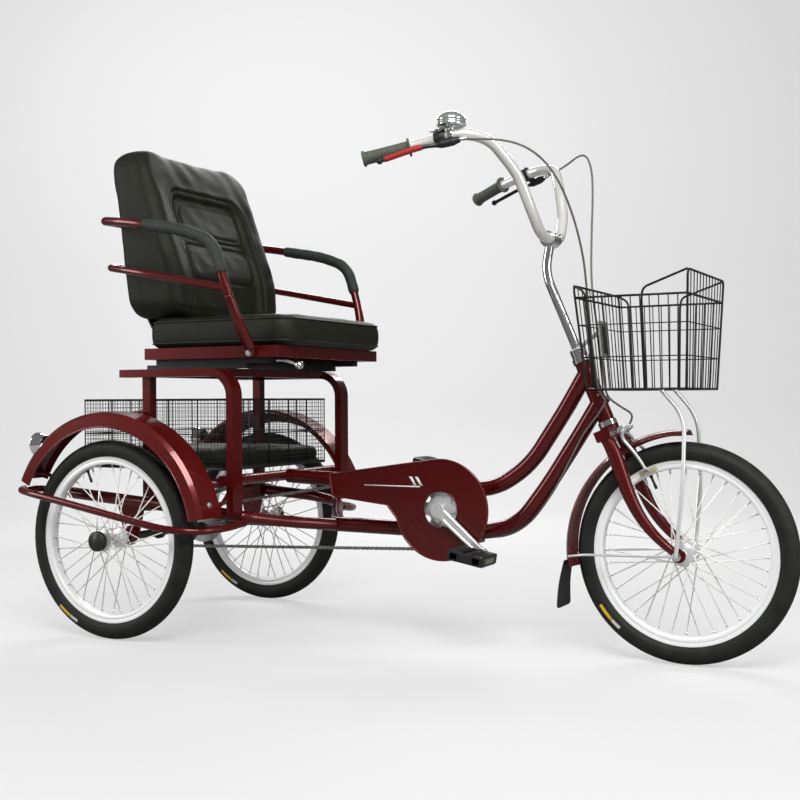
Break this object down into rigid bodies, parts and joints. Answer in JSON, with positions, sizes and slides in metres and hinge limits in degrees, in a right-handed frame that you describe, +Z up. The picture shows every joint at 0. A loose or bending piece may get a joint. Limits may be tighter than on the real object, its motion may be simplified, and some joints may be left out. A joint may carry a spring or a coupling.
{
  "type": "cycle rickshaw",
  "caption": "Pedal tricycle with a padded armchair over the rear axle, a steered front wheel under a wire basket, a chain drive and mudguards.",
  "frame": {"origin": "on the ground below the middle of the whole machine, on its mid-plane", "axes": "+X forward, +Y to the rider's left, +Z up"},
  "size_m": [1.902, 0.838, 1.26],
  "materials": {
    "red": "glossy deep red paint",
    "chrome": "polished chrome plate",
    "silver": "satin silver",
    "steel": "zinc plated steel",
    "black_metal": "satin black paint",
    "tyre": "black rubber",
    "rubber": "matt black rubber",
    "foam": "grey-green foam",
    "leather": "black grained leatherette",
    "plastic": "black moulded plastic"
  },
  "bodies": {
    "frame": {"head_tube": "red", "headset_cups": "chrome", "top_tube": "red", "down_tube": "red", "bottom_bracket": "red", "rail_left": "red", "rail_right": "red", "cross_bar": "red", "stand_left": "red", "stand_right": "red", "seat_crosses": "red", "slides": "black_metal", "rear_basket": "black_metal", "basket_pad": "leather", "mudguard_left": "red", "mudguard_right": "red", "mudguard_arms": "steel", "side_bar_left": "red", "side_bar_right": "red", "tail_lamps": "plastic", "chain": "steel", "chain_guard": "red", "cable_frame": "plastic", "rear_brake": "steel"},
    "seat": {"runners": "black_metal", "seat_frame": "red", "seat_cushion": "leather", "backrest": "leather", "back_bars": "red", "back_brackets": "black_metal", "armrest_left": "red", "armrest_right": "red", "arm_sleeves": "foam"},
    "steering": {"fork": "red", "stem": "chrome", "handlebar": "chrome", "grips": "rubber", "front_mudguard": "red", "mud_flap": "rubber", "front_stays": "silver", "front_basket": "black_metal", "front_axle": "steel", "brake_levers": "black_metal", "bell": "chrome", "front_brake": "silver", "brake_pads": "rubber", "cable_front": "plastic", "cable_bars": "plastic"},
    "front_wheel": {"front_tyre": "tyre", "front_wheel": "silver"},
    "rear_wheel_left": {"rear_tyre_left": "tyre", "rear_wheel_left": "silver", "rear_shaft": "black_metal"},
    "rear_wheel_right": {"rear_tyre_right": "tyre", "rear_wheel_right": "silver"},
    "crank": {"cranks": "steel", "chainring": "steel"},
    "pedal_left": {"pedal_left": "plastic"},
    "pedal_right": {"pedal_right": "plastic"},
    "rear_sprocket": {"sprocket": "steel"}
  },
  "joints": [
    {"name": "steering_turn", "type": "hinge", "parent": "frame", "child": "steering", "pos_m": [0.52449, 0, 0.534], "axis": [-0.3907, 0, 0.9205], "range_deg": [-45, 45]},
    {"name": "front_wheel_spin", "type": "hinge", "parent": "steering", "child": "front_wheel", "pos_m": [0.70099, 0, 0.25], "axis": [0, 1, 0], "continuous": true},
    {"name": "rear_left_spin", "type": "hinge", "parent": "frame", "child": "rear_wheel_left", "pos_m": [-0.66051, 0, 0.25], "axis": [0, 1, 0], "continuous": true},
    {"name": "rear_right_spin", "type": "hinge", "parent": "frame", "child": "rear_wheel_right", "pos_m": [-0.66051, 0, 0.25], "axis": [0, 1, 0], "continuous": true},
    {"name": "crank_turn", "type": "hinge", "parent": "frame", "child": "crank", "pos_m": [0.12349, 0, 0.33], "axis": [0, 1, 0], "continuous": true},
    {"name": "sprocket_turn", "type": "hinge", "parent": "frame", "child": "rear_sprocket", "pos_m": [-0.66051, -0.048, 0.25], "axis": [0, 1, 0], "continuous": true},
    {"name": "pedal_left_spin", "type": "hinge", "parent": "crank", "child": "pedal_left", "pos_m": [0.00705, 0.14, 0.4277], "axis": [0, 1, 0], "continuous": true},
    {"name": "pedal_right_spin", "type": "hinge", "parent": "crank", "child": "pedal_right", "pos_m": [0.23993, -0.14, 0.2323], "axis": [0, 1, 0], "continuous": true},
    {"name": "seat_slide", "type": "slide", "parent": "frame", "child": "seat", "axis": [1, 0, 0], "range_m": [-0.05, 0.05]}
  ],
  "couplings": [
    {"joint": "sprocket_turn", "follows": "crank_turn", "ratio": 2}
  ]
}
